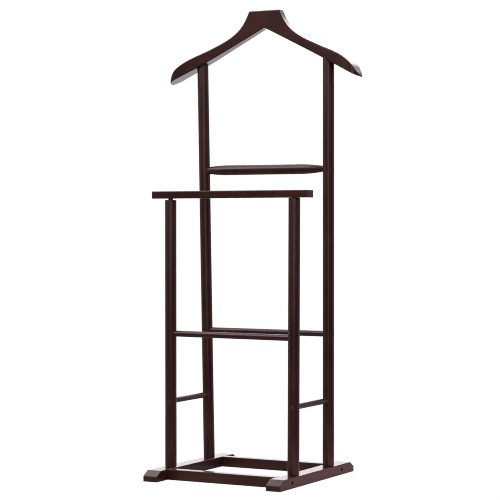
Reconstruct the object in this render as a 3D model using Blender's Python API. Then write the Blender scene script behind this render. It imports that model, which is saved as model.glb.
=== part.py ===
"""Valet stand: a free-standing wooden rack for a jacket, trousers and shirt.

Two runners and two rails make the base. Four round posts stand on the runners. The two
short front posts carry a straight bar, the two tall rear posts carry a contoured coat
hanger, and a turned trouser rail, two mid rails and two side rails tie them together.

Metres. +X is the stand's right, +Y its back, +Z up. The origin is on the floor, under the
middle of the stand's outer box.
"""
import math

import bmesh
import bpy
from mathutils import Matrix, Vector

# Driving dimensions
GAP = 0.0003                # air left between two pieces that touch
HEIGHT = 1.082              # floor to the flat top of the hanger
BASE_LENGTH = 0.377         # runners, front to back
BASE_CENTER_X = 0.006       # the base stands this far right of the hanger's middle
RUNNER_PITCH = 0.313        # between the runners' middles
RUNNER_WIDTH = 0.036
RUNNER_HEIGHT = 0.024
NOSE_RUN = 0.019            # chamfer at each runner end, along the runner
NOSE_DROP = 0.0112          # and down from its top
BASE_RAIL_DEPTH = 0.020
FRONT_BASE_RAIL_Y = -0.1304
REAR_BASE_RAIL_Y = 0.1238

POST_PITCH_X = 0.316
FRONT_POST_Y = -0.0935
REAR_POST_Y = 0.0855
POST_RADIUS = 0.0132
POST_EDGE = 0.0012          # chamfer round each end of a post

BAR_LENGTH = 0.400
BAR_DEPTH = 0.031
BAR_BOTTOM = 0.6403
BAR_THICKNESS = 0.0171
BAR_EDGE = 0.0020
FRONT_LEFT_POST_SHORTFALL = 0.0030   # that post stops short and its dowel shows

MID_RAIL_Z = 0.3290
FRONT_MID_RAIL_RISE = 0.0016         # the front mid rail's left end sits this much higher
MID_RAIL_RADIUS = 0.0069
SIDE_RAIL_Z = 0.1755
SIDE_RAIL_RADIUS = 0.0064
TROUSER_RAIL_Z = 0.7097
TROUSER_RAIL_RADIUS = 0.0120
TROUSER_RAIL_MIDDLE_X = -0.0045
TROUSER_RAIL_STRAIGHT = 0.191        # length of the full-diameter middle
TROUSER_TAPER_LENGTH = 0.055
TROUSER_TAPER_LOSS = 0.00425         # radius lost over that length

HANGER_APEX = 1.0419                 # where the two sloping undersides would meet
HANGER_SLOPE = 0.4997                # fall of the underside per metre outwards
HANGER_APEX_ROUND = 0.002
HANGER_EDGE = 0.0025
HANGER_FRONT_AT_MIDDLE = 0.0080      # front face ahead of the rear posts' axes
HANGER_SWEEP = 0.0308                # how far the shoulders sweep forward
HANGER_SWEEP_POWER = 2.94
HANGER_DEPTH = 0.0232                # front to back at the middle
HANGER_DEPTH_GAIN = 0.0224           # added at the shoulders
HANGER_DEPTH_POWER = 1.68
HANGER_FRONT_TIP = (0.222, 0.0326)   # seen from above, the front corner of the tip is
                                     # rounded from this far out, by this much in depth
HANGER_BACK_TIP = (0.2304, 0.0138)   # and the back corner from here, by this much
HANGER_SAMPLES = 2                   # stations between two knots
# Upper outline of one arm, from the flat top to the tip: distance out, height.
HANGER_ARM_TOP = [(0.0391, 1.0820), (0.0504, 1.0595), (0.0675, 1.0378), (0.0969, 1.0171),
                  (0.1436, 0.9954), (0.1842, 0.9789), (0.2100, 0.9657), (0.2308, 0.9494),
                  (0.2429, 0.9319), (0.2500, 0.9203)]

SOCKET_DEPTH = 0.005        # how far a round rail enters a post
DOWEL_RADIUS = 0.0055
DOWEL_IN_POST = 0.020
DOWEL_IN_BAR = 0.0110
DOWEL_IN_HANGER = 0.0140

SCREW_HEAD_RADIUS = 0.0040
SCREW_HEAD_HEIGHT = 0.0026
SCREW_RADIUS = 0.0021
SCREW_IN_RAIL = 0.025
SCREW_RECESS_DEPTH = 0.0050
BOLT_HEAD_RADIUS = 0.0042
BOLT_HEAD_HEIGHT = 0.0040
BOLT_RADIUS = 0.0030
BOLT_IN_RAIL = 0.030
BOLT_RECESS_DEPTH = 0.0070
FOOT_SCREW_IN_POST = 0.032
HEX_DEPTH = 0.0018
HEX_RADIUS = 0.0020

POST_SEGMENTS = 32
RAIL_SEGMENTS = 20
SCREW_SEGMENTS = 10

LEFT, RIGHT = -1, 1
# Two of the posts lean a little to the side: metres along X per metre of height.
POST_LEAN = {("rear", LEFT): -0.018, ("front", RIGHT): 0.004}
X_AXIS = Vector((1, 0, 0))
Z_AXIS = Vector((0, 0, 1))

DARK_WOOD = ("dark_wood", (0.032, 0.018, 0.015), 0.28, 0.0)
DARK_STEEL = ("dark_steel", (0.035, 0.033, 0.032), 0.42, 1.0)


def clear_scene():
    for item in list(bpy.data.objects):
        bpy.data.objects.remove(item, do_unlink=True)


def make_material(spec):
    name, colour, roughness, metallic = spec
    material = bpy.data.materials.get(name) or bpy.data.materials.new(name)
    material.use_nodes = True
    shader = material.node_tree.nodes["Principled BSDF"]
    shader.inputs["Base Color"].default_value = (*colour, 1.0)
    shader.inputs["Roughness"].default_value = roughness
    shader.inputs["Metallic"].default_value = metallic
    return material


def add_object(name, mesh, spec):
    piece = bpy.data.objects.new(name, mesh)
    bpy.context.scene.collection.objects.link(piece)
    if not mesh.materials:
        mesh.materials.append(make_material(spec))
    return piece


def finish_mesh(name, bm, smooth=True):
    bmesh.ops.recalc_face_normals(bm, faces=bm.faces)
    mesh = bpy.data.meshes.new(name)
    bm.to_mesh(mesh)
    bm.free()
    if smooth:
        mesh.shade_smooth()
        mesh.set_sharp_from_angle(angle=math.radians(35))
    return mesh


def ring(bm, points):
    return [bm.verts.new(point) for point in points]


def bridge(bm, first, second):
    count = len(first)
    for i in range(count):
        j = (i + 1) % count
        bm.faces.new((first[i], first[j], second[j], second[i]))


def loft(name, rings_of_points, smooth=True):
    """A closed body through rings that all have the same number of points."""
    bm = bmesh.new()
    rings = [ring(bm, points) for points in rings_of_points]
    for first, second in zip(rings, rings[1:]):
        bridge(bm, first, second)
    bm.faces.new(rings[0])
    bm.faces.new(rings[-1])
    return finish_mesh(name, bm, smooth)


def turned(name, profile, segments):
    """A solid of revolution about local +Z, from (distance along Z, radius) pairs."""
    rings = []
    for along, radius in profile:
        angles = [2 * math.pi * i / segments for i in range(segments)]
        rings.append([(radius * math.cos(a), radius * math.sin(a), along) for a in angles])
    return loft(name, rings)


def aim(start, direction):
    """The matrix that puts local +Z along direction, with the local origin at start."""
    return Matrix.Translation(start) @ Z_AXIS.rotation_difference(direction).to_matrix().to_4x4()


def cut(piece, name, mesh, matrix):
    """Cut a tool's shape out of a piece."""
    tool = bpy.data.objects.new(name, mesh)
    bpy.context.scene.collection.objects.link(tool)
    tool.matrix_world = matrix
    tool.hide_render = True
    tool.display_type = "WIRE"
    modifier = piece.modifiers.new(name, "BOOLEAN")
    modifier.operation = "DIFFERENCE"
    modifier.object = tool


def drill(piece, name, start, direction, profile, segments=SCREW_SEGMENTS):
    cut(piece, name, turned(name, profile, segments), aim(start, direction))


# Layout

def side_x(side):
    return BASE_CENTER_X + side * POST_PITCH_X / 2


def post_axis(row, side, height):
    """The point on a post's axis at a height."""
    x = side_x(side) + POST_LEAN.get((row, side), 0.0) * (height - RUNNER_HEIGHT)
    y = FRONT_POST_Y if row == "front" else REAR_POST_Y
    return Vector((x, y, height))


def post_direction(row, side):
    return (post_axis(row, side, 1.0) - post_axis(row, side, 0.0)).normalized()


def side_name(side):
    return "left" if side == LEFT else "right"


def mid_rail_height(row, side):
    if (row, side) == ("front", LEFT):
        return MID_RAIL_Z + FRONT_MID_RAIL_RISE
    return MID_RAIL_Z


def post_top(row, side, x):
    """Height of a post's top face at x: flat under the bar, sloping under the hanger."""
    if row == "rear":
        return hanger_underside(x) - GAP
    short = FRONT_LEFT_POST_SHORTFALL if side == LEFT else GAP
    return BAR_BOTTOM - short


def post_head(row, side):
    """The point where a post's axis meets its top face."""
    head = post_axis(row, side, RUNNER_HEIGHT)
    for _ in range(8):
        head = post_axis(row, side, post_top(row, side, head.x))
    return head


# Posts

def circle_at(center, radius, segments=POST_SEGMENTS):
    angles = [2 * math.pi * i / segments for i in range(segments)]
    return [(center.x + radius * math.cos(a), center.y + radius * math.sin(a)) for a in angles]


def post(row, side):
    name = f"{row}_{side_name(side)}_post"
    bottom = RUNNER_HEIGHT + GAP
    inner = POST_RADIUS - POST_EDGE
    foot = post_axis(row, side, bottom)
    head = post_head(row, side)
    rings = [
        [(x, y, bottom) for x, y in circle_at(foot, inner)],
        [(x, y, bottom + POST_EDGE) for x, y in circle_at(foot, POST_RADIUS)],
        [(x, y, post_top(row, side, x) - POST_EDGE) for x, y in circle_at(head, POST_RADIUS)],
        [(x, y, post_top(row, side, x)) for x, y in circle_at(head, inner)],
    ]
    piece = add_object(name, loft(name, rings), DARK_WOOD)
    start = post_axis(row, side, bottom - GAP)
    drill(piece, name + "_foot_hole", start, post_direction(row, side),
          [(-0.01, SCREW_RADIUS + GAP), (FOOT_SCREW_IN_POST + GAP, SCREW_RADIUS + GAP)])
    drill(piece, name + "_dowel_hole", head, -post_direction(row, side),
          [(-0.02, DOWEL_RADIUS + GAP), (DOWEL_IN_POST + GAP, DOWEL_RADIUS + GAP)],
          RAIL_SEGMENTS)
    return piece


# Round rails between posts, each held by a screw through the post at either end

def screw_mesh(name, length, radius, head_radius, head_height):
    """Local +Z runs from under the head to the tip; the head is below zero."""
    tip = length - radius
    profile = [(-head_height, head_radius - 0.0004), (-head_height + 0.0004, head_radius),
               (0, head_radius), (0, radius), (tip, radius), (length, radius * 0.3)]
    return turned(name, profile, SCREW_SEGMENTS)


def hex_socket(name, head_height):
    points = [2 * math.pi * i / 6 for i in range(6)]
    flat = [(HEX_RADIUS * math.cos(a), HEX_RADIUS * math.sin(a)) for a in points]
    levels = (-head_height - 0.001, -head_height + HEX_DEPTH)
    return loft(name, [[(x, y, z) for x, y in flat] for z in levels], smooth=False)


def add_screw(name, start, direction, length, radius, head_radius, head_height):
    piece = add_object(name, screw_mesh(name, length, radius, head_radius, head_height),
                       DARK_STEEL)
    piece.matrix_world = aim(start, direction)
    cut(piece, name + "_hex", hex_socket(name + "_hex", head_height), aim(start, direction))
    return piece


def post_joint(post_piece, rail_piece, axis_point, inward, socket_radius, screw_name):
    """A rail's end in a post: the socket, the screw's recess and hole, and the screw."""
    outside = -POST_RADIUS - 0.004
    recess_floor = -POST_RADIUS + SCREW_RECESS_DEPTH
    socket_floor = POST_RADIUS - SOCKET_DEPTH
    hole = SCREW_RADIUS + GAP
    profile = [(outside, SCREW_HEAD_RADIUS + GAP), (recess_floor, SCREW_HEAD_RADIUS + GAP),
               (recess_floor, hole), (socket_floor, hole),
               (socket_floor, socket_radius + GAP), (POST_RADIUS + 0.004, socket_radius + GAP)]
    drill(post_piece, screw_name + "_way", axis_point, inward, profile, RAIL_SEGMENTS)
    tip = socket_floor + SCREW_IN_RAIL
    drill(rail_piece, screw_name + "_pilot", axis_point, inward,
          [(0, hole), (tip + GAP, hole)])
    under_head = recess_floor - GAP
    add_screw(screw_name, axis_point + inward * under_head, inward, tip - under_head,
              SCREW_RADIUS, SCREW_HEAD_RADIUS, SCREW_HEAD_HEIGHT)


def round_rail(name, posts, ends, heights, radius_at, screw_names):
    """A rail between two posts; radius_at gives its radius at a distance from post one."""
    first = post_axis(*ends[0], heights[0])
    second = post_axis(*ends[1], heights[1])
    span = (second - first).length
    direction = (second - first).normalized()
    start = POST_RADIUS - SOCKET_DEPTH + GAP
    stop = span - start
    steps = rail_stations(start, stop, radius_at)
    mesh = turned(name, [(t, radius_at(t)) for t in steps], RAIL_SEGMENTS)
    piece = add_object(name, mesh, DARK_WOOD)
    piece.matrix_world = aim(first, direction)
    post_joint(posts[ends[0]], piece, first, direction, radius_at(POST_RADIUS),
               screw_names[0])
    post_joint(posts[ends[1]], piece, second, -direction, radius_at(span - POST_RADIUS),
               screw_names[1])
    return piece


def rail_stations(start, stop, radius_at):
    """Both ends, and stations between them only where the radius changes."""
    count = 20
    even = [start + (stop - start) * i / count for i in range(count + 1)]
    kept = [even[0]]
    for before, here, after in zip(even, even[1:], even[2:]):
        bend = radius_at(after) - 2 * radius_at(here) + radius_at(before)
        if abs(bend) > 1e-6:
            kept.append(here)
    return kept + [even[-1]]


def trouser_radius(x):
    """Radius of the turned rail at a place along X: straight, then falling to each end."""
    past = abs(x - TROUSER_RAIL_MIDDLE_X) - TROUSER_RAIL_STRAIGHT / 2
    if past <= 0:
        return TROUSER_RAIL_RADIUS
    return TROUSER_RAIL_RADIUS - TROUSER_TAPER_LOSS * (past / TROUSER_TAPER_LENGTH) ** 2


def add_round_rails(posts):
    for row in ("front", "rear"):
        round_rail(f"{row}_mid_rail", posts, [(row, LEFT), (row, RIGHT)],
                   [mid_rail_height(row, side) for side in (LEFT, RIGHT)],
                   lambda t: MID_RAIL_RADIUS,
                   [f"{row}_left_mid_screw", f"{row}_right_mid_screw"])
    for side in (LEFT, RIGHT):
        word = side_name(side)
        round_rail(f"{word}_side_rail", posts, [("front", side), ("rear", side)],
                   [SIDE_RAIL_Z, SIDE_RAIL_Z], lambda t: SIDE_RAIL_RADIUS,
                   [f"front_{word}_side_screw", f"rear_{word}_side_screw"])
    left = post_axis("rear", LEFT, TROUSER_RAIL_Z).x
    round_rail("trouser_rail", posts, [("rear", LEFT), ("rear", RIGHT)],
               [TROUSER_RAIL_Z, TROUSER_RAIL_Z], lambda t: trouser_radius(left + t),
               ["left_trouser_rail_screw", "right_trouser_rail_screw"])


# Base

def runner(side):
    name = f"{side_name(side)}_runner"
    x = BASE_CENTER_X + side * RUNNER_PITCH / 2
    half = BASE_LENGTH / 2
    nose = RUNNER_HEIGHT - NOSE_DROP
    outline = [(-half, 0), (half, 0), (half, nose), (half - NOSE_RUN, RUNNER_HEIGHT),
               (-half + NOSE_RUN, RUNNER_HEIGHT), (-half, nose)]
    faces = [x - RUNNER_WIDTH / 2, x + RUNNER_WIDTH / 2]
    rings = [[(face, y, z) for y, z in outline] for face in faces]
    piece = add_object(name, loft(name, rings, smooth=False), DARK_WOOD)
    for row in ("front", "rear"):
        foot_screw(piece, row, side)
    return piece


def foot_screw(runner_piece, row, side):
    """A screw up through the runner into the post that stands on it."""
    name = f"{row}_{side_name(side)}_foot_screw"
    upward = post_direction(row, side)
    start = post_axis(row, side, SCREW_RECESS_DEPTH)
    hole = SCREW_RADIUS + GAP
    profile = [(-0.015, SCREW_HEAD_RADIUS + GAP), (0, SCREW_HEAD_RADIUS + GAP), (0, hole),
               (RUNNER_HEIGHT, hole)]
    drill(runner_piece, name + "_way", start, upward, profile)
    length = RUNNER_HEIGHT - SCREW_RECESS_DEPTH + FOOT_SCREW_IN_POST
    add_screw(name, start - upward * GAP, upward, length, SCREW_RADIUS,
              SCREW_HEAD_RADIUS, SCREW_HEAD_HEIGHT)


def base_rail(row, runners):
    """A rail butted between the runners, with a bolt from outside each of them."""
    name = f"{row}_base_rail"
    y = FRONT_BASE_RAIL_Y if row == "front" else REAR_BASE_RAIL_Y
    half = (RUNNER_PITCH - RUNNER_WIDTH) / 2 - GAP
    ends = [BASE_CENTER_X - half, BASE_CENTER_X + half]
    front, back = y - BASE_RAIL_DEPTH / 2, y + BASE_RAIL_DEPTH / 2
    outline = [(front, 0), (back, 0), (back, RUNNER_HEIGHT), (front, RUNNER_HEIGHT)]
    rings = [[(x, py, pz) for py, pz in outline] for x in ends]
    piece = add_object(name, loft(name, rings, smooth=False), DARK_WOOD)
    for side in (LEFT, RIGHT):
        base_bolt(piece, runners[side], row, side, y)


def base_bolt(rail_piece, runner_piece, row, side, y):
    name = f"{row}_{side_name(side)}_base_bolt"
    outer_face = BASE_CENTER_X + side * (RUNNER_PITCH + RUNNER_WIDTH) / 2
    inward = -side * X_AXIS
    start = Vector((outer_face, y, RUNNER_HEIGHT / 2)) + inward * BOLT_RECESS_DEPTH
    hole = BOLT_RADIUS + GAP
    profile = [(-0.012, BOLT_HEAD_RADIUS + GAP), (0, BOLT_HEAD_RADIUS + GAP), (0, hole),
               (RUNNER_WIDTH, hole)]
    drill(runner_piece, name + "_way", start, inward, profile)
    length = RUNNER_WIDTH - BOLT_RECESS_DEPTH + BOLT_IN_RAIL
    drill(rail_piece, name + "_pilot", start, inward, [(0, hole), (length + GAP, hole)])
    add_screw(name, start - inward * GAP, inward, length, BOLT_RADIUS, BOLT_HEAD_RADIUS,
              BOLT_HEAD_HEIGHT)


# Front bar

def front_top_bar():
    bm = bmesh.new()
    bmesh.ops.create_cube(bm, size=1.0)
    bmesh.ops.scale(bm, vec=(BAR_LENGTH, BAR_DEPTH, BAR_THICKNESS), verts=bm.verts)
    middle = (BASE_CENTER_X, FRONT_POST_Y, BAR_BOTTOM + BAR_THICKNESS / 2)
    bmesh.ops.translate(bm, vec=middle, verts=bm.verts)
    bmesh.ops.bevel(bm, geom=bm.edges[:], offset=BAR_EDGE, segments=2, affect="EDGES",
                    profile=0.5)
    piece = add_object("front_top_bar", finish_mesh("front_top_bar", bm), DARK_WOOD)
    for side in (LEFT, RIGHT):
        add_dowel(piece, "front", side, BAR_BOTTOM + DOWEL_IN_BAR)


def add_dowel(upper_piece, row, side, top):
    """The dowel from a post's top up into the bar or the hanger, as high as top."""
    name = f"{row}_{side_name(side)}_dowel"
    upward = post_direction(row, side)
    start = post_axis(row, side, post_head(row, side).z - DOWEL_IN_POST)
    stop = post_axis(row, side, top)
    length = (stop - start).length
    hole = DOWEL_RADIUS + GAP
    drill(upper_piece, name + "_hole", start, upward, [(0, hole), (length + GAP, hole)],
          RAIL_SEGMENTS)
    chamfer = 0.0008
    profile = [(0, DOWEL_RADIUS - chamfer), (chamfer, DOWEL_RADIUS),
               (length - chamfer, DOWEL_RADIUS), (length, DOWEL_RADIUS - chamfer)]
    piece = add_object(name, turned(name, profile, RAIL_SEGMENTS), DARK_WOOD)
    piece.matrix_world = aim(start, upward)


# Hanger

def hanger_underside(x):
    return HANGER_APEX - HANGER_SLOPE * math.hypot(x, HANGER_APEX_ROUND)


def catmull_rom(before, start, stop, after, t):
    """A point on the smooth curve from start to stop."""
    values = []
    for a, b, c, d in zip(before, start, stop, after):
        values.append(b + 0.5 * t * (c - a + t * (2 * a - 5 * b + 4 * c - d
                                                  + t * (3 * (b - c) + d - a))))
    return tuple(values)


def arm_top():
    """Stations along one arm's upper outline, as (distance out, height) pairs."""
    knots = HANGER_ARM_TOP
    padded = [knots[0]] + knots + [knots[-1]]
    stations = [(0.0, HEIGHT), (knots[0][0] / 2, HEIGHT)]
    for before, start, stop, after in zip(padded, padded[1:], padded[2:], padded[3:]):
        for i in range(HANGER_SAMPLES):
            stations.append(catmull_rom(before, start, stop, after, i / HANGER_SAMPLES))
    return stations + [knots[-1]]


def tip_rounding(out, tip):
    """How far one face has come in from its own line, near the tip."""
    start, amount = tip
    share = max(out - start, 0.0) / (HANGER_ARM_TOP[-1][0] - start)
    return amount * (1 - math.sqrt(1 - share ** 2))


def hanger_faces(out):
    """Y of the front and back faces at a distance out from the middle."""
    sweep = HANGER_SWEEP * (out / 0.25) ** HANGER_SWEEP_POWER
    front = REAR_POST_Y - HANGER_FRONT_AT_MIDDLE - sweep
    back = front + HANGER_DEPTH + HANGER_DEPTH_GAIN * (out / 0.23) ** HANGER_DEPTH_POWER
    return front + tip_rounding(out, HANGER_FRONT_TIP), back - tip_rounding(out, HANGER_BACK_TIP)


def rounded_section(x, front, back, low, high):
    """A rounded rectangle across the arm, as a ring of points."""
    radius = min(HANGER_EDGE, 0.45 * (back - front), 0.45 * (high - low))
    corners = [(back - radius, high - radius, 0), (front + radius, high - radius, 90),
               (front + radius, low + radius, 180), (back - radius, low + radius, 270)]
    points = []
    for y, z, turn in corners:
        for step in (0, 45, 90):
            angle = math.radians(turn + step)
            points.append((x, y + radius * math.cos(angle), z + radius * math.sin(angle)))
    return points


def hanger():
    arm = arm_top()
    stations = [(-out, top) for out, top in reversed(arm[1:])] + arm
    rings = []
    for x, top in stations:
        front, back = hanger_faces(abs(x))
        rings.append(rounded_section(x, front, back, hanger_underside(x), top))
    piece = add_object("hanger", loft("hanger", rings), DARK_WOOD)
    for side in (LEFT, RIGHT):
        add_dowel(piece, "rear", side, post_head("rear", side).z + DOWEL_IN_HANGER)


def main():
    clear_scene()
    posts = {(row, side): post(row, side) for row in ("front", "rear")
             for side in (LEFT, RIGHT)}
    runners = {side: runner(side) for side in (LEFT, RIGHT)}
    base_rail("front", runners)
    base_rail("rear", runners)
    add_round_rails(posts)
    front_top_bar()
    hanger()


main()
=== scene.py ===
"""Looks for the valet stand: finer wooden pieces, stained and lacquered wood, and a studio.

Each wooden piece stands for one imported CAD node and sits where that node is, in the same
frame: metres, +X the stand's right, +Y its back, +Z up, the origin on the floor. The
screws and bolts keep their CAD shapes and only get new materials.
"""
import math

import bmesh
import bpy
from mathutils import Matrix, Vector


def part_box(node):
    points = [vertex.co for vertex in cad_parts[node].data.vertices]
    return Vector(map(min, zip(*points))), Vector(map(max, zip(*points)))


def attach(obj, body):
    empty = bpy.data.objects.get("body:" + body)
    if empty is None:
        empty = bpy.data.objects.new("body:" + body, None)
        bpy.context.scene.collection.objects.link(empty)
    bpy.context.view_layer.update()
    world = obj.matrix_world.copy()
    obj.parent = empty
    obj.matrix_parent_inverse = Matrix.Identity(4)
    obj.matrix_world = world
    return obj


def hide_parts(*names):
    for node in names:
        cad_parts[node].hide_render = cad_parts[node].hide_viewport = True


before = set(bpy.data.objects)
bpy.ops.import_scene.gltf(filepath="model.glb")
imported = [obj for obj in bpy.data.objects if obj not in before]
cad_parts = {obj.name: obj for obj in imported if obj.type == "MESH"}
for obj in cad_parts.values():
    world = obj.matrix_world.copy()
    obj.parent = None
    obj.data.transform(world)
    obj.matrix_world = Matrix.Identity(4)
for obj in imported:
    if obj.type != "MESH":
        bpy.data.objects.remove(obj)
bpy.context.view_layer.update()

# Sizes of the stand, the same as its CAD
GAP = 0.0003                # air left between two pieces that touch
HEIGHT = 1.082              # floor to the flat top of the hanger
BASE_LENGTH = 0.377         # runners, front to back
BASE_CENTER_X = 0.006       # the base stands this far right of the hanger's middle
RUNNER_PITCH = 0.313        # between the runners' middles
RUNNER_WIDTH = 0.036
RUNNER_HEIGHT = 0.024
NOSE_RUN = 0.019            # chamfer at each runner end, along the runner
NOSE_DROP = 0.0112          # and down from its top
BASE_RAIL_DEPTH = 0.020
BASE_RAIL_Y = {"front": -0.1304, "rear": 0.1238}

POST_PITCH_X = 0.316
POST_Y = {"front": -0.0935, "rear": 0.0855}
POST_RADIUS = 0.0132
POST_EDGE = 0.0012          # rounding of each end of a post

BAR_LENGTH = 0.400
BAR_DEPTH = 0.031
BAR_BOTTOM = 0.6403
BAR_THICKNESS = 0.0171
BAR_EDGE = 0.0020
FRONT_LEFT_POST_SHORTFALL = 0.0030   # that post stops short and its dowel shows

MID_RAIL_Z = 0.3290
FRONT_MID_RAIL_RISE = 0.0016         # the front mid rail's left end sits this much higher
MID_RAIL_RADIUS = 0.0069
SIDE_RAIL_Z = 0.1755
SIDE_RAIL_RADIUS = 0.0064
TROUSER_RAIL_Z = 0.7097
TROUSER_RAIL_RADIUS = 0.0120
TROUSER_RAIL_MIDDLE_X = -0.0045
TROUSER_RAIL_STRAIGHT = 0.191        # length of the full-diameter middle
TROUSER_TAPER_LENGTH = 0.055
TROUSER_TAPER_LOSS = 0.00425         # radius lost over that length

HANGER_APEX = 1.0419                 # where the two sloping undersides would meet
HANGER_SLOPE = 0.4997                # fall of the underside per metre outwards
HANGER_APEX_ROUND = 0.002
HANGER_EDGE = 0.0025
HANGER_EDGE_MOST = 0.45              # the rounding takes at most this share of a side
HANGER_FRONT_AT_MIDDLE = 0.0080      # front face ahead of the rear posts' axes
HANGER_SWEEP = 0.0308                # how far the shoulders sweep forward
HANGER_SWEEP_REACH = 0.25            # by this far out
HANGER_SWEEP_POWER = 2.94
HANGER_DEPTH = 0.0232                # front to back at the middle
HANGER_DEPTH_GAIN = 0.0224           # added at the shoulders
HANGER_DEPTH_REACH = 0.23            # by this far out
HANGER_DEPTH_POWER = 1.68
HANGER_FRONT_TIP = (0.222, 0.0326)   # seen from above, the front corner of the tip is
                                     # rounded from this far out, by this much in depth
HANGER_BACK_TIP = (0.2304, 0.0138)   # and the back corner from here, by this much
# Upper outline of one arm, from the flat top to the tip: distance out, height
HANGER_ARM_TOP = [(0.0391, 1.0820), (0.0504, 1.0595), (0.0675, 1.0378), (0.0969, 1.0171),
                  (0.1436, 0.9954), (0.1842, 0.9789), (0.2100, 0.9657), (0.2308, 0.9494),
                  (0.2429, 0.9319), (0.2500, 0.9203)]

SOCKET_DEPTH = 0.005        # how far a round rail enters a post
DOWEL_RADIUS = 0.0055
SCREW_HEAD_RADIUS = 0.0040
SCREW_RADIUS = 0.0021
SCREW_RECESS_DEPTH = 0.0050
BOLT_HEAD_RADIUS = 0.0042
BOLT_RADIUS = 0.0030
BOLT_RECESS_DEPTH = 0.0070

LEFT, RIGHT = -1, 1
SIDES = (LEFT, RIGHT)
ROWS = ("front", "rear")
# Two of the posts lean a little to the side: metres along X per metre of height
POST_LEAN = {("rear", LEFT): -0.018, ("front", RIGHT): 0.004}
X_AXIS = Vector((1, 0, 0))
Y_AXIS = Vector((0, 1, 0))
Z_AXIS = Vector((0, 0, 1))

# How finely the pieces are drawn
ROUND_SEGMENTS = 72
HOLE_SEGMENTS = 40
FLOOR_SEGMENTS = 96
RAIL_STEPS = 96             # along a round rail
EDGE_STEPS = 4              # across a rounded edge
HANGER_SAMPLES = 8          # stations between two knots of the hanger's outline
BOX_EDGE = 0.0011           # rounding of the base pieces' edges
DOWEL_EDGE = 0.0008
RING_MARGIN = 0.002         # a post has a ring this far above and below each rail
POST_TOP_PASSES = 8         # the place of a leaning post's top settles within these
SHARP_ANGLE = math.radians(32)
SLIVER = 0.000001           # faces narrower than this are taken out

# The cutters' lengths
JOINT_OVERRUN = 0.004       # past the post's surface on both sides
HOLE_OVERRUN = 0.015        # from a recess's floor, back out of the runner
FOOT_HOLE_REACH = 0.030     # from a recess's floor, on through the runner
BOLT_HOLE_REACH = 0.040

# How far each piece's figure is slid along its grain, so that the pieces don't look alike
FIGURE_SLIDES = {
    "front_left_post": 0.0, "front_right_post": 0.9,
    "rear_left_post": 1.8, "rear_right_post": 2.7,
    "left_runner": 0.7, "right_runner": 1.9,
    "front_base_rail": 2.6, "rear_base_rail": 3.3,
    "front_top_bar": 4.1, "hanger": 5.2,
    "front_mid_rail": 5.5, "rear_mid_rail": 6.05,
    "left_side_rail": 6.6, "right_side_rail": 7.15, "trouser_rail": 7.7,
    "front_left_dowel": 0.0, "front_right_dowel": 0.4,
    "rear_left_dowel": 0.8, "rear_right_dowel": 1.2,
}
HANGER_ORIGIN_Z = 1.0       # height of the hanger piece's own origin

# Each noise has a scale in waves per metre, a detail and a roughness
FIBRE_NOISE = (900.0, 4.0, 0.6)
STREAK_NOISE = (170.0, 3.0, 0.55)
PATCH_NOISE = (14.0, 2.0, 0.5)
PORE_NOISE = (2100.0, 1.0, 0.5)
LACQUER_NOISE = (320.0, 2.0, 0.5)
GRIME_NOISE = (700.0, 4.0, 0.6)
SCRATCH_NOISE = (3000.0, 2.0, 0.5)
# A number under 1 draws a noise out along that axis; the grain is a piece's own Z
GRAIN_STRETCH = (1.0, 1.0, 0.05)
PORE_STRETCH = (1.0, 1.0, 0.028)
SCRATCH_STRETCH = (1.0, 0.1, 1.0)

# The wood. Each table gives colours or greys along its noise, from 0 to 1. The streaks
# carry the stain, and each other layer multiplies it, as far as its share says.
STREAK_COLOURS = [(0.30, (0.082, 0.0232, 0.0146)), (0.52, (0.107, 0.0315, 0.0198)),
                  (0.72, (0.142, 0.0450, 0.0280))]
FIBRE_COLOURS = [(0.30, (0.62, 0.60, 0.58)), (0.62, 1.0)]
FIBRE_SHARE = 0.8
PATCH_COLOURS = [(0.35, (0.78, 0.78, 0.80)), (0.65, (1.15, 1.12, 1.08))]
PATCH_SHARE = 1.0
PORE_COLOURS = [(0.30, 0.35), (0.38, 1.0)]
PORE_SHARE = 0.7
RUBBED_COLOUR = (0.190, 0.0640, 0.0400)   # where the edges are worn
WOOD_ROUGHNESS = [(0.3, 0.36), (0.7, 0.48)]
FIBRE_RELIEF = 0.00005
PORE_RELIEF = 0.00006
LACQUER_RELIEF = 0.00003
EDGE_WEAR_REACH = 0.003     # the stain is rubbed thin this close to an edge
EDGE_WEAR_SAMPLES = 8
EDGE_WEAR_START = 0.90      # share of inward rays that stay in the wood, where it starts
EDGE_WEAR_FULL = 0.55       # and where the wear is full

# The steels of the screws and of the bolts, along the grime's noise
PLATED_STEEL = [(0.35, (0.25, 0.18, 0.19)), (0.70, (0.46, 0.35, 0.36))]
BLACKENED_STEEL = [(0.35, (0.012, 0.011, 0.010)), (0.70, (0.035, 0.032, 0.030))]
STEEL_ROUGHNESS = [(0.3, 0.32), (0.7, 0.55)]
SCRATCH_RELIEF = 0.00002

# The studio
CAMERA_PLACE = (1.9514, -3.625, 0.5805)
CAMERA_TURN = (89.189, 0.0212, 28.236)   # degrees
CAMERA_LENS = 128.57                     # mm, on the sensor below
CAMERA_SENSOR = 36.0
CAMERA_FAR_CLIP = 200.0
PIXEL_FILTER = 1.0                       # width, in pixels

FLOOR_RADIUS = 1.0
FLOOR_MIDDLE = (-0.15, 0.35)
FLOOR_COLOUR = (0.14, 0.14, 0.14)
FLOOR_LOOK = (0.96, 0.96, 0.96)          # as the camera sees it
# What the floor gives off towards the stand: plain, with a warmer strip beside the right
# runner. Each colour is at a distance right of the floor's middle.
FLOOR_GLOW = [(0.31, (0.10, 0.10, 0.10)), (0.35, (0.40, 0.25, 0.27)),
              (0.42, (0.40, 0.25, 0.27)), (0.50, (0.10, 0.10, 0.10))]

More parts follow.
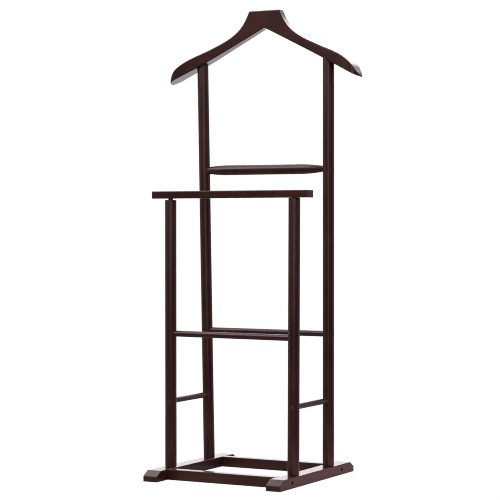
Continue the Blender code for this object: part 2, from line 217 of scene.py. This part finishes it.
WALL_DIRECTION = (-0.455, 0.88, -0.12)   # towards the bright backdrop
WALL_STRENGTH = 1.7
WALL_LOOK = 1.01                         # as the camera sees it
# The walls' colours, from 0 facing away from the backdrop to 1 facing its middle
WALL_COLOURS = [(0.35, (0.02, 0.02, 0.02)), (0.46, (0.13, 0.095, 0.105)),
                (0.92, (0.14, 0.105, 0.115)), (0.985, (1.0, 0.94, 1.0))]
# The ceiling's colours, from 0 at the horizon to 1 overhead
CEILING_COLOURS = [(0.0, (0.0, 0.0, 0.0)), (0.05, (0.04, 0.04, 0.04)),
                   (0.12, (0.11, 0.095, 0.10)), (0.30, (0.17, 0.15, 0.165))]

SOFTBOX_COLOUR = (1.0, 0.94, 1.0)
# Each softbox: its place, what it is aimed at, its width and height, and its watts
SOFTBOXES = {
    "key_softbox": ((-1.6, -1.76, 2.74), (0.0, 0.0, 0.6), (1.8, 1.8), 25.0),
    "top_softbox": ((-1.3, 0.4, 2.8), (0.0, 0.0, 0.6), (1.8, 1.8), 13.0),
    "rear_softbox": ((-0.6, 2.8, 2.3), (0.0, 0.0, 1.0), (2.1, 1.2), 24.0),
    "front_softbox": ((1.69, -3.16, 1.2), (0.0, 0.0, 1.0), (2.1, 2.0), 7.5),
}


# Meshes

def body_from_rings(rings_of_points):
    """A closed body through rings that all have the same number of points."""
    bm = bmesh.new()
    rings = [[bm.verts.new(point) for point in points] for points in rings_of_points]
    count = len(rings[0])
    for first, second in zip(rings, rings[1:]):
        for i in range(count):
            j = (i + 1) % count
            bm.faces.new((first[i], first[j], second[j], second[i]))
    bm.faces.new(rings[0])
    bm.faces.new(rings[-1])
    bmesh.ops.recalc_face_normals(bm, faces=bm.faces)
    return bm


def circle_angles(segments):
    return [2 * math.pi * i / segments for i in range(segments)]


def turned(profile, segments):
    """A solid of revolution about local +Z, from (distance along Z, radius) pairs."""
    angles = circle_angles(segments)
    return body_from_rings([[(r * math.cos(a), r * math.sin(a), z) for a in angles]
                            for z, r in profile])


def aim(start, direction):
    """The place of something at start whose own +Z points in a direction."""
    turn = Z_AXIS.rotation_difference(direction).to_matrix().to_4x4()
    return Matrix.Translation(start) @ turn


def to_mesh(name, bm):
    mesh = bpy.data.meshes.new(name)
    bm.to_mesh(mesh)
    bm.free()
    return mesh


def add_object(name, data):
    piece = bpy.data.objects.new(name, data)
    bpy.context.scene.collection.objects.link(piece)
    return piece


def keep_flats_flat(piece):
    """The wide faces shade as flat right up to the rounded edges beside them."""
    modifier = piece.modifiers.new("flat_faces", "WEIGHTED_NORMAL")
    modifier.keep_sharp = True


def without_slivers(mesh):
    """Split the many-sided faces that cutting leaves, and take out those with no area."""
    bm = bmesh.new()
    bm.from_mesh(mesh)
    bmesh.ops.triangulate(bm, faces=[face for face in bm.faces if len(face.verts) > 4])
    bmesh.ops.dissolve_degenerate(bm, dist=SLIVER, edges=bm.edges)
    bm.to_mesh(mesh)
    bm.free()
    return mesh


def carve(piece, holes):
    """Cut the holes, given as (mesh, matrix) pairs, out of a piece."""
    tools = []
    for i, (bm, matrix) in enumerate(holes):
        tool = add_object(f"tool_{i}", to_mesh(f"tool_{i}", bm))
        tool.matrix_world = matrix
        modifier = piece.modifiers.new(f"cut_{i}", "BOOLEAN")
        modifier.operation = "DIFFERENCE"
        modifier.solver = "EXACT"
        modifier.object = tool
        tools.append(tool)
    bpy.context.view_layer.update()
    graph = bpy.context.evaluated_depsgraph_get()
    cut = bpy.data.meshes.new_from_object(piece.evaluated_get(graph))
    piece.modifiers.clear()
    piece.data = without_slivers(cut)
    for tool in tools:
        bpy.data.objects.remove(tool, do_unlink=True)


def wooden(node, bm, origin, grain, holes=(), flat_faced=False):
    """The wooden piece that stands for a CAD node, from a mesh in the stand's frame.

    The piece's own +Z is set along the grain, and slid by the node's share of the figure.
    Each hole is a (mesh, matrix) pair to cut away.
    """
    slide = Matrix.Translation((0, 0, -FIGURE_SLIDES[node]))
    place = aim(Vector(origin), Vector(grain)) @ slide
    bmesh.ops.transform(bm, matrix=place.inverted(), verts=bm.verts)
    name = f"{node}_wood"
    piece = add_object(name, to_mesh(name, bm))
    piece.matrix_world = place
    if holes:
        carve(piece, holes)
    piece.data.shade_smooth()
    piece.data.set_sharp_from_angle(angle=SHARP_ANGLE)
    if flat_faced:
        keep_flats_flat(piece)
    piece.data.materials.clear()
    piece.data.materials.append(wood_material())
    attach(piece, "root")
    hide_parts(node)


def turned_piece(node, profile, start, direction):
    """A round wooden piece, its profile measured from start in a direction."""
    bm = turned(profile, ROUND_SEGMENTS)
    bmesh.ops.transform(bm, matrix=aim(start, direction), verts=bm.verts)
    wooden(node, bm, start, direction)


# Layout

def side_name(side):
    return "left" if side == LEFT else "right"


def post_axis(row, side, height):
    """The point on a post's axis at a height."""
    x = BASE_CENTER_X + side * POST_PITCH_X / 2
    x += POST_LEAN.get((row, side), 0.0) * (height - RUNNER_HEIGHT)
    return Vector((x, POST_Y[row], height))


def post_direction(row, side):
    return (post_axis(row, side, 1.0) - post_axis(row, side, 0.0)).normalized()


def mid_rail_height(row, side):
    if (row, side) == ("front", LEFT):
        return MID_RAIL_Z + FRONT_MID_RAIL_RISE
    return MID_RAIL_Z


def hanger_underside(x):
    return HANGER_APEX - HANGER_SLOPE * math.hypot(x, HANGER_APEX_ROUND)


def post_top(row, side, x):
    """Height of a post's top, which follows what it carries."""
    if row == "rear":
        return hanger_underside(x) - GAP
    short = FRONT_LEFT_POST_SHORTFALL if side == LEFT else GAP
    return BAR_BOTTOM - short


def post_head(row, side):
    """The point where a post's axis meets its top."""
    head = post_axis(row, side, RUNNER_HEIGHT)
    for _ in range(POST_TOP_PASSES):
        head = post_axis(row, side, post_top(row, side, head.x))
    return head


# Posts

def edge_curve():
    """Steps of a rounded edge, as (inset from the side, distance from the end) pairs."""
    angles = [math.pi / 2 * i / EDGE_STEPS for i in range(EDGE_STEPS + 1)]
    return [(POST_EDGE * (1 - math.sin(a)), POST_EDGE * (1 - math.cos(a))) for a in angles]


def rail_joints(row, side):
    """The rails that meet a post: height, direction into the rail, radius at the post."""
    height = mid_rail_height(row, side)
    far = post_axis(row, -side, mid_rail_height(row, -side))
    across = (far - post_axis(row, side, height)).normalized()
    neighbour = "rear" if row == "front" else "front"
    along = post_axis(neighbour, side, SIDE_RAIL_Z) - post_axis(row, side, SIDE_RAIL_Z)
    joints = [(height, across, MID_RAIL_RADIUS),
              (SIDE_RAIL_Z, along.normalized(), SIDE_RAIL_RADIUS)]
    if row == "rear":
        here = post_axis(row, side, TROUSER_RAIL_Z)
        joints.append((TROUSER_RAIL_Z, -side * X_AXIS,
                       trouser_radius(here.x - side * POST_RADIUS)))
    return joints


def joint_cutter(row, side, height, inward, rail_radius):
    """A rail's socket in a post, its screw's hole, and the head's recess on the far side."""
    recess_floor = -POST_RADIUS + SCREW_RECESS_DEPTH
    socket_floor = POST_RADIUS - SOCKET_DEPTH
    recess, hole, socket = SCREW_HEAD_RADIUS + GAP, SCREW_RADIUS + GAP, rail_radius + GAP
    profile = [(-POST_RADIUS - JOINT_OVERRUN, recess), (recess_floor, recess),
               (recess_floor, hole), (socket_floor, hole), (socket_floor, socket),
               (POST_RADIUS + JOINT_OVERRUN, socket)]
    return turned(profile, HOLE_SEGMENTS), aim(post_axis(row, side, height), inward)


def level_ring(row, side, height, radius):
    """A level ring of points round a post's axis."""
    middle = post_axis(row, side, height)
    return [(middle.x + radius * math.cos(a), middle.y + radius * math.sin(a), height)
            for a in circle_angles(ROUND_SEGMENTS)]


def top_ring(row, side, radius, drop):
    """A ring at a distance below a post's top, which isn't level under the hanger."""
    head = post_head(row, side)
    ring = []
    for a in circle_angles(ROUND_SEGMENTS):
        x = head.x + radius * math.cos(a)
        ring.append((x, head.y + radius * math.sin(a), post_top(row, side, x) - drop))
    return ring


def post(row, side):
    foot = RUNNER_HEIGHT + GAP
    joints = rail_joints(row, side)
    rings = [level_ring(row, side, foot + rise, POST_RADIUS - inset)
             for inset, rise in edge_curve()]
    for height, _, rail_radius in sorted(joints, key=lambda joint: joint[0]):
        for z in (height - rail_radius - RING_MARGIN, height + rail_radius + RING_MARGIN):
            rings.append(level_ring(row, side, z, POST_RADIUS))
    for inset, drop in reversed(edge_curve()):
        rings.append(top_ring(row, side, POST_RADIUS - inset, drop))
    head = post_head(row, side)
    wooden(f"{row}_{side_name(side)}_post", body_from_rings(rings), (head.x, head.y, 0.0),
           Z_AXIS, [joint_cutter(row, side, *joint) for joint in joints])


# Round rails and dowels

def trouser_radius(x):
    past = abs(x - TROUSER_RAIL_MIDDLE_X) - TROUSER_RAIL_STRAIGHT / 2
    if past <= 0:
        return TROUSER_RAIL_RADIUS
    return TROUSER_RAIL_RADIUS - TROUSER_TAPER_LOSS * (past / TROUSER_TAPER_LENGTH) ** 2


def round_rail(node, ends, radius_at):
    """A rail between two points on the posts' axes; radius_at gives its radius from X."""
    first, second = ends
    direction = (second - first).normalized()
    start = POST_RADIUS - SOCKET_DEPTH + GAP
    stop = (second - first).length - start
    steps = [start + (stop - start) * i / RAIL_STEPS for i in range(RAIL_STEPS + 1)]
    profile = [(t, radius_at(first.x + direction.x * t)) for t in steps]
    turned_piece(node, profile, first, direction)


def round_rails():
    for row in ROWS:
        ends = [post_axis(row, side, mid_rail_height(row, side)) for side in SIDES]
        round_rail(f"{row}_mid_rail", ends, lambda x: MID_RAIL_RADIUS)
    for side in SIDES:
        ends = [post_axis(row, side, SIDE_RAIL_Z) for row in ROWS]
        round_rail(f"{side_name(side)}_side_rail", ends, lambda x: SIDE_RAIL_RADIUS)
    ends = [post_axis("rear", side, TROUSER_RAIL_Z) for side in SIDES]
    round_rail("trouser_rail", ends, trouser_radius)


def dowel(row, side):
    """The dowel in a post's top; the front left one shows under the bar."""
    node = f"{row}_{side_name(side)}_dowel"
    low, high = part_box(node)
    start, stop = post_axis(row, side, low.z), post_axis(row, side, high.z)
    length = (stop - start).length
    profile = [(0, DOWEL_RADIUS - DOWEL_EDGE), (DOWEL_EDGE, DOWEL_RADIUS),
               (length - DOWEL_EDGE, DOWEL_RADIUS), (length, DOWEL_RADIUS - DOWEL_EDGE)]
    turned_piece(node, profile, start, (stop - start).normalized())


def dowels():
    for row in ROWS:
        for side in SIDES:
            dowel(row, side)


# Base and bar

def prism(outline, ends, edge):
    """An outline in the YZ plane, carried along X between two ends, its edges rounded."""
    bm = body_from_rings([[(x, y, z) for y, z in outline] for x in ends])
    bmesh.ops.bevel(bm, geom=bm.edges[:], offset=edge, segments=EDGE_STEPS, affect="EDGES",
                    profile=0.5)
    return bm


def rectangle(middle_y, depth, low, high):
    """An upright outline in the YZ plane, for a prism."""
    front, back = middle_y - depth / 2, middle_y + depth / 2
    return [(front, low), (back, low), (back, high), (front, high)]


def hole_at(start, inward, radius, shank, reach):
    """A screw head's recess and the narrower hole past it; start is the recess's floor."""
    profile = [(-HOLE_OVERRUN, radius + GAP), (0, radius + GAP), (0, shank + GAP),
               (reach, shank + GAP)]
    return turned(profile, HOLE_SEGMENTS), aim(start, inward)


def runner_holes(side, outer_x):
    """The holes of one runner: up into each post, and inwards into each base rail."""
    inward = -side * X_AXIS
    holes = []
    for row in ROWS:
        holes.append(hole_at(post_axis(row, side, SCREW_RECESS_DEPTH),
                             post_direction(row, side), SCREW_HEAD_RADIUS, SCREW_RADIUS,
                             FOOT_HOLE_REACH))
        outer = Vector((outer_x, BASE_RAIL_Y[row], RUNNER_HEIGHT / 2))
        holes.append(hole_at(outer + inward * BOLT_RECESS_DEPTH, inward, BOLT_HEAD_RADIUS,
                             BOLT_RADIUS, BOLT_HOLE_REACH))
    return holes


def runner(side):
    x = BASE_CENTER_X + side * RUNNER_PITCH / 2
    half = BASE_LENGTH / 2
    nose = RUNNER_HEIGHT - NOSE_DROP
    outline = [(-half, 0), (half, 0), (half, nose), (half - NOSE_RUN, RUNNER_HEIGHT),
               (-half + NOSE_RUN, RUNNER_HEIGHT), (-half, nose)]
    bm = prism(outline, [x - RUNNER_WIDTH / 2, x + RUNNER_WIDTH / 2], BOX_EDGE)
    wooden(f"{side_name(side)}_runner", bm, (x, 0, 0), Y_AXIS,
           runner_holes(side, x + side * RUNNER_WIDTH / 2), flat_faced=True)


def base_rail(row):
    y = BASE_RAIL_Y[row]
    half = (RUNNER_PITCH - RUNNER_WIDTH) / 2 - GAP
    bm = prism(rectangle(y, BASE_RAIL_DEPTH, 0, RUNNER_HEIGHT),
               [BASE_CENTER_X - half, BASE_CENTER_X + half], BOX_EDGE)
    wooden(f"{row}_base_rail", bm, (0, y, 0), X_AXIS, flat_faced=True)


def front_top_bar():
    y, top = POST_Y["front"], BAR_BOTTOM + BAR_THICKNESS
    bm = prism(rectangle(y, BAR_DEPTH, BAR_BOTTOM, top),
               [BASE_CENTER_X - BAR_LENGTH / 2, BASE_CENTER_X + BAR_LENGTH / 2], BAR_EDGE)
    wooden("front_top_bar", bm, (0, y, top), X_AXIS, flat_faced=True)


# Hanger

def catmull_rom(before, start, stop, after, t):
    """A point between start and stop on the smooth curve through four knots."""
    values = []
    for a, b, c, d in zip(before, start, stop, after):
        values.append(b + 0.5 * t * (c - a + t * (2 * a - 5 * b + 4 * c - d
                                                  + t * (3 * (b - c) + d - a))))
    return tuple(values)


def arm_top():
    """Stations along one arm's upper outline, as (distance out, height) pairs."""
    knots = HANGER_ARM_TOP
    padded = [knots[0]] + knots + [knots[-1]]
    inner = knots[0][0]
    stations = [(inner * i / HANGER_SAMPLES, HEIGHT) for i in range(HANGER_SAMPLES)]
    for before, start, stop, after in zip(padded, padded[1:], padded[2:], padded[3:]):
        for i in range(HANGER_SAMPLES):
            stations.append(catmull_rom(before, start, stop, after, i / HANGER_SAMPLES))
    return stations + [knots[-1]]


def tip_rounding(out, tip):
    """How far a corner of the tip is rounded off in depth, at a distance out."""
    start, amount = tip
    share = max(out - start, 0.0) / (HANGER_ARM_TOP[-1][0] - start)
    return amount * (1 - math.sqrt(1 - share ** 2))


def hanger_faces(out):
    """Where the front and the back face of an arm are, at a distance out."""
    sweep = HANGER_SWEEP * (out / HANGER_SWEEP_REACH) ** HANGER_SWEEP_POWER
    gain = HANGER_DEPTH_GAIN * (out / HANGER_DEPTH_REACH) ** HANGER_DEPTH_POWER
    front = POST_Y["rear"] - HANGER_FRONT_AT_MIDDLE - sweep
    back = front + HANGER_DEPTH + gain
    return front + tip_rounding(out, HANGER_FRONT_TIP), back - tip_rounding(out, HANGER_BACK_TIP)


def rounded_section(x, front, back, low, high):
    """A rounded rectangle across the arm, as a ring of points."""
    radius = min(HANGER_EDGE, HANGER_EDGE_MOST * (back - front), HANGER_EDGE_MOST * (high - low))
    corners = [(back - radius, high - radius, 0), (front + radius, high - radius, 90),
               (front + radius, low + radius, 180), (back - radius, low + radius, 270)]
    points = []
    for y, z, turn in corners:
        for step in range(EDGE_STEPS + 2):
            angle = math.radians(turn + 90 * step / (EDGE_STEPS + 1))
            points.append((x, y + radius * math.cos(angle), z + radius * math.sin(angle)))
    return points


def hanger():
    arm = arm_top()
    stations = [(-out, top) for out, top in reversed(arm[1:])] + arm
    rings = []
    for x, top in stations:
        front, back = hanger_faces(abs(x))
        rings.append(rounded_section(x, front, back, hanger_underside(x), top))
    wooden("hanger", body_from_rings(rings), (0, POST_Y["rear"], HANGER_ORIGIN_Z), X_AXIS,
           flat_faced=True)


# Material nodes

def fresh_material(name):
    material = bpy.data.materials.new(name)
    material.use_nodes = True
    nodes = material.node_tree.nodes
    return material, nodes, material.node_tree.links, nodes["Principled BSDF"]


def opaque(colour):
    return (*colour, 1.0)


def noise(nodes, links, vector, scale, detail, roughness):
    node = nodes.new("ShaderNodeTexNoise")
    node.inputs["Scale"].default_value = scale
    node.inputs["Detail"].default_value = detail
    node.inputs["Roughness"].default_value = roughness
    links.new(vector, node.inputs["Vector"])
    return node.outputs["Fac"]


def ramp(nodes, links, value, stops):
    """Colours along a value, from (position, colour or grey) pairs."""
    node = nodes.new("ShaderNodeValToRGB")
    band = node.color_ramp
    while len(band.elements) < len(stops):
        band.elements.new(0.5)
    for element, (position, colour) in zip(band.elements, stops):
        element.position = position
        element.color = opaque(colour if isinstance(colour, tuple) else (colour,) * 3)
    links.new(value, node.inputs["Fac"])
    return node.outputs["Color"]


def stretched(nodes, links, vector, scale):
    node = nodes.new("ShaderNodeMapping")
    node.inputs["Scale"].default_value = scale
    links.new(vector, node.inputs["Vector"])
    return node.outputs["Vector"]


def mix(nodes, links, factor, first, second, blend="MIX"):
    """A mix of two colours; each input is a socket to link or a value to set."""
    node = nodes.new("ShaderNodeMix")
    node.data_type = "RGBA"
    node.blend_type = blend
    for name, source in (("Factor", factor), ("A", first), ("B", second)):
        if isinstance(source, bpy.types.NodeSocket):
            links.new(source, node.inputs[name])
        else:
            node.inputs[name].default_value = source
    return node.outputs["Result"]


def bump(nodes, links, height, distance, normal=None):
    node = nodes.new("ShaderNodeBump")
    node.inputs["Distance"].default_value = distance
    links.new(height, node.inputs["Height"])
    if normal is not None:
        links.new(normal, node.inputs["Normal"])
    return node.outputs["Normal"]


def edge_share(nodes, links):
    """1 right at a piece's edges, 0 a few millimetres in."""
    depth = nodes.new("ShaderNodeAmbientOcclusion")
    depth.inside = True
    depth.only_local = True
    depth.samples = EDGE_WEAR_SAMPLES
    depth.inputs["Distance"].default_value = EDGE_WEAR_REACH
    share = nodes.new("ShaderNodeMapRange")
    share.inputs["From Min"].default_value = EDGE_WEAR_START
    share.inputs["From Max"].default_value = EDGE_WEAR_FULL
    links.new(depth.outputs["AO"], share.inputs["Value"])
    return share.outputs["Result"]


# Materials

def wood_material():
    """Close-grained wood, stained dark and lacquered; each piece's own +Z is its grain."""
    name = "stained_wood"
    if name in bpy.data.materials:
        return bpy.data.materials[name]
    material, nodes, links, shader = fresh_material(name)
    place = nodes.new("ShaderNodeTexCoord").outputs["Object"]
    along = stretched(nodes, links, place, GRAIN_STRETCH)
    pore_place = stretched(nodes, links, place, PORE_STRETCH)
    fibre = noise(nodes, links, along, *FIBRE_NOISE)
    streak = noise(nodes, links, along, *STREAK_NOISE)
    patch = noise(nodes, links, place, *PATCH_NOISE)
    pore = noise(nodes, links, pore_place, *PORE_NOISE)
    lacquer = noise(nodes, links, place, *LACQUER_NOISE)

    colour = ramp(nodes, links, streak, STREAK_COLOURS)
    fibres = ramp(nodes, links, fibre, FIBRE_COLOURS)
    patches = ramp(nodes, links, patch, PATCH_COLOURS)
    pores = ramp(nodes, links, pore, PORE_COLOURS)
    for share, layer in ((FIBRE_SHARE, fibres), (PATCH_SHARE, patches), (PORE_SHARE, pores)):
        colour = mix(nodes, links, share, colour, layer, "MULTIPLY")
    wear = mix(nodes, links, 1.0, edge_share(nodes, links), fibres, "MULTIPLY")
    colour = mix(nodes, links, wear, colour, opaque(RUBBED_COLOUR))
    links.new(colour, shader.inputs["Base Color"])

    links.new(ramp(nodes, links, patch, WOOD_ROUGHNESS), shader.inputs["Roughness"])
    grain = bump(nodes, links, fibre, FIBRE_RELIEF)
    grain = bump(nodes, links, pores, PORE_RELIEF, grain)
    links.new(grain, shader.inputs["Normal"])
    links.new(bump(nodes, links, lacquer, LACQUER_RELIEF), shader.inputs["Coat Normal"])
    shader.inputs["Specular IOR Level"].default_value = 0.2
    shader.inputs["Coat Weight"].default_value = 1.0
    shader.inputs["Coat Roughness"].default_value = 0.20
    shader.inputs["Coat IOR"].default_value = 1.52
    return material


def steel_material(name, colours):
    """Steel of a screw or a bolt, dull with grime and fine scratches."""
    material, nodes, links, shader = fresh_material(name)
    place = nodes.new("ShaderNodeTexCoord").outputs["Object"]
    scratch_place = stretched(nodes, links, place, SCRATCH_STRETCH)
    grime = noise(nodes, links, place, *GRIME_NOISE)
    scratch = noise(nodes, links, scratch_place, *SCRATCH_NOISE)
    links.new(ramp(nodes, links, grime, colours), shader.inputs["Base Color"])
    links.new(ramp(nodes, links, grime, STEEL_ROUGHNESS), shader.inputs["Roughness"])
    links.new(bump(nodes, links, scratch, SCRATCH_RELIEF), shader.inputs["Normal"])
    shader.inputs["Metallic"].default_value = 0.9
    return material


def dress_fasteners():
    """The screws and bolts keep their CAD shape and get the better steels."""
    steels = {"_screw": steel_material("plated_steel", PLATED_STEEL),
              "_bolt": steel_material("blackened_steel", BLACKENED_STEEL)}
    for name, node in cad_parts.items():
        for ending, steel in steels.items():
            if name.endswith(ending):
                for slot in node.material_slots:
                    slot.material = steel


# Studio

def floor():
    bm = bmesh.new()
    bmesh.ops.create_circle(bm, cap_ends=True, segments=FLOOR_SEGMENTS, radius=FLOOR_RADIUS)
    piece = add_object("floor", to_mesh("floor", bm))
    piece.location = (*FLOOR_MIDDLE, 0.0)
    material, nodes, links, shader = fresh_material("pale_floor")
    shader.inputs["Base Color"].default_value = opaque(FLOOR_COLOUR)
    shader.inputs["Roughness"].default_value = 0.9
    shader.inputs["Specular IOR Level"].default_value = 0.0
    across = nodes.new("ShaderNodeSeparateXYZ")
    links.new(nodes.new("ShaderNodeTexCoord").outputs["Object"], across.inputs["Vector"])
    glow = ramp(nodes, links, across.outputs["X"], FLOOR_GLOW)
    seen = nodes.new("ShaderNodeLightPath").outputs["Is Camera Ray"]
    links.new(mix(nodes, links, seen, glow, opaque(FLOOR_LOOK)), shader.inputs["Emission Color"])
    shader.inputs["Emission Strength"].default_value = 1.0
    piece.data.materials.append(material)


def studio_walls():
    """The world: a bright wall behind the stand, in a dim room; the camera sees it plain."""
    world = bpy.data.worlds.new("studio")
    bpy.context.scene.world = world
    world.use_nodes = True
    nodes, links = world.node_tree.nodes, world.node_tree.links
    direction = nodes.new("ShaderNodeTexCoord").outputs["Generated"]
    towards = nodes.new("ShaderNodeVectorMath")
    towards.operation = "DOT_PRODUCT"
    towards.inputs[1].default_value = WALL_DIRECTION
    links.new(direction, towards.inputs[0])
    share = nodes.new("ShaderNodeMapRange")
    share.inputs["From Min"].default_value = -1.0
    links.new(towards.outputs["Value"], share.inputs["Value"])
    height = nodes.new("ShaderNodeSeparateXYZ")
    links.new(direction, height.inputs["Vector"])
    walls = ramp(nodes, links, share.outputs["Result"], WALL_COLOURS)
    ceiling = ramp(nodes, links, height.outputs["Z"], CEILING_COLOURS)
    room = mix(nodes, links, 1.0, walls, ceiling, "LIGHTEN")
    seen = nodes.new("ShaderNodeLightPath").outputs["Is Camera Ray"]
    plain = WALL_LOOK / WALL_STRENGTH
    background = nodes["Background"]
    links.new(mix(nodes, links, seen, room, (plain, plain, plain, 1.0)),
              background.inputs["Color"])
    background.inputs["Strength"].default_value = WALL_STRENGTH


def softbox(name, place, target, size, power):
    light = bpy.data.lights.new(name, "AREA")
    light.shape = "RECTANGLE"
    light.size, light.size_y = size
    light.energy = power
    light.color = SOFTBOX_COLOUR
    lamp = add_object(name, light)
    away = Vector(place) - Vector(target)
    lamp.matrix_world = aim(Vector(place), away.normalized())
    lamp.visible_camera = False


def camera():
    data = bpy.data.cameras.new("camera")
    data.lens = CAMERA_LENS
    data.sensor_width = CAMERA_SENSOR
    data.clip_end = CAMERA_FAR_CLIP
    piece = add_object("camera", data)
    piece.location = CAMERA_PLACE
    piece.rotation_euler = [math.radians(angle) for angle in CAMERA_TURN]
    bpy.context.scene.camera = piece


def stand():
    for row in ROWS:
        for side in SIDES:
            post(row, side)
        base_rail(row)
    for side in SIDES:
        runner(side)
    round_rails()
    dowels()
    front_top_bar()
    hanger()
    dress_fasteners()


def studio():
    floor()
    studio_walls()
    for name, settings in SOFTBOXES.items():
        softbox(name, *settings)
    camera()
    bpy.context.scene.view_settings.view_transform = "Standard"
    bpy.context.scene.cycles.filter_width = PIXEL_FILTER


stand()
studio()
